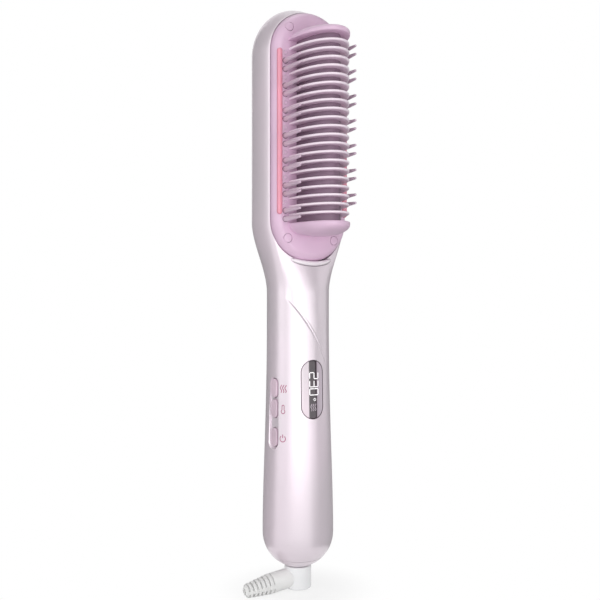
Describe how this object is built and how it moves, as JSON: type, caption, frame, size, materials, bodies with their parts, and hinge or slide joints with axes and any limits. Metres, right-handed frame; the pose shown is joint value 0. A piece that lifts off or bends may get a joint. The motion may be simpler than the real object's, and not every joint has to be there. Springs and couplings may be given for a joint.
{
  "type": "steam hair straightener brush",
  "caption": "Hand-held heated straightening brush with arched comb fins, side teeth, a display window, side buttons and a swivelling cord outlet.",
  "frame": {"origin": "on the long axis of the round grip, at the middle of the hand grip", "axes": "+Z along the grip up to the head, -Y out of the front with the comb, -X towards the side with the buttons"},
  "size_m": [0.0549, 0.0587, 0.2896],
  "materials": {
    "shell": "pearl pinkish lilac, satin gloss",
    "plate": "mauve, satin",
    "fins": "mauve, satin, lighter at the edges",
    "teeth": "mauve, satin",
    "strip": "salmon pink, gloss",
    "core": "dark mauve ceramic coat",
    "ptc": "sintered ceramic",
    "electrodes": "milled",
    "film": "amber insulating film",
    "inner_plastic": "heat resistant, natural white",
    "silicone": "translucent silicone",
    "tank": "clear moulded",
    "dark_plastic": "black, fine grain",
    "plug_rubber": "soft mauve silicone",
    "screw_steel": "zinc plated",
    "lens": "tinted gloss window",
    "board": "green laminate",
    "button": "pink lilac, satin",
    "capacitor": "yellow case",
    "fuse_glass": "clear glass tube",
    "wire": "silicone insulation",
    "white_plastic": "white gloss",
    "white_rubber": "white flexible moulding",
    "brass": "plain"
  },
  "bodies": {
    "root": {"front_housing": "shell", "rear_cover": "shell", "bottom_cap": "shell", "face_plate": "plate", "screw_plugs": "plate", "comb_end_top": "plate", "comb_end_bottom": "plate", "comb_fins": "fins", "tooth_bar_left": "teeth", "tooth_bar_right": "teeth", "side_strip_left": "strip", "side_strip_right": "strip", "heater_core": "core", "ptc_tiles": "ptc", "electrode_plates": "electrodes", "insulation_films": "film", "clamp_wedges": "electrodes", "heater_tray": "inner_plastic", "steam_rail_left": "inner_plastic", "steam_rail_right": "inner_plastic", "steam_tubes": "silicone", "water_tube": "silicone", "water_tank": "tank", "steam_pump": "dark_plastic", "thermal_fuse": "screw_steel", "thermistor": "dark_plastic", "plate_screws": "screw_steel", "cap_screws": "screw_steel", "shell_screws": "screw_steel", "display_lens": "lens", "display_module": "dark_plastic", "display_pcb": "board", "button_pcb": "board", "power_board": "board", "tactile_switches": "dark_plastic", "filter_capacitor": "capacitor", "heat_sink": "electrodes", "mains_fuse": "fuse_glass", "power_leads": "wire", "heater_leads": "wire", "slip_disc": "board", "slip_brushes": "brass"},
    "button_steam": {"button_steam": "button"},
    "button_temperature": {"button_temperature": "button"},
    "button_power": {"button_power": "button"},
    "fill_plug": {"fill_plug": "plug_rubber"},
    "cord_swivel": {"swivel_boss": "white_plastic", "strain_relief": "white_rubber", "swivel_clip": "screw_steel", "contact_rings": "brass"}
  },
  "joints": [
    {"name": "button_steam_press", "type": "slide", "parent": "root", "child": "button_steam", "axis": [0.9744, 0.225, 0], "range_m": [0, 0.0005], "stiffness_N_per_m": 800},
    {"name": "button_temperature_press", "type": "slide", "parent": "root", "child": "button_temperature", "axis": [0.9744, 0.225, 0], "range_m": [0, 0.0005], "stiffness_N_per_m": 800},
    {"name": "button_power_press", "type": "slide", "parent": "root", "child": "button_power", "axis": [0.9744, 0.225, 0], "range_m": [0, 0.0005], "stiffness_N_per_m": 800},
    {"name": "fill_plug_pull", "type": "slide", "parent": "root", "child": "fill_plug", "axis": [0, 1, 0], "range_m": [0, 0.012]},
    {"name": "cord_swivel_turn", "type": "hinge", "parent": "root", "child": "cord_swivel", "pos_m": [0, 0, -0.07], "axis": [0, 0, 1], "continuous": true}
  ]
}
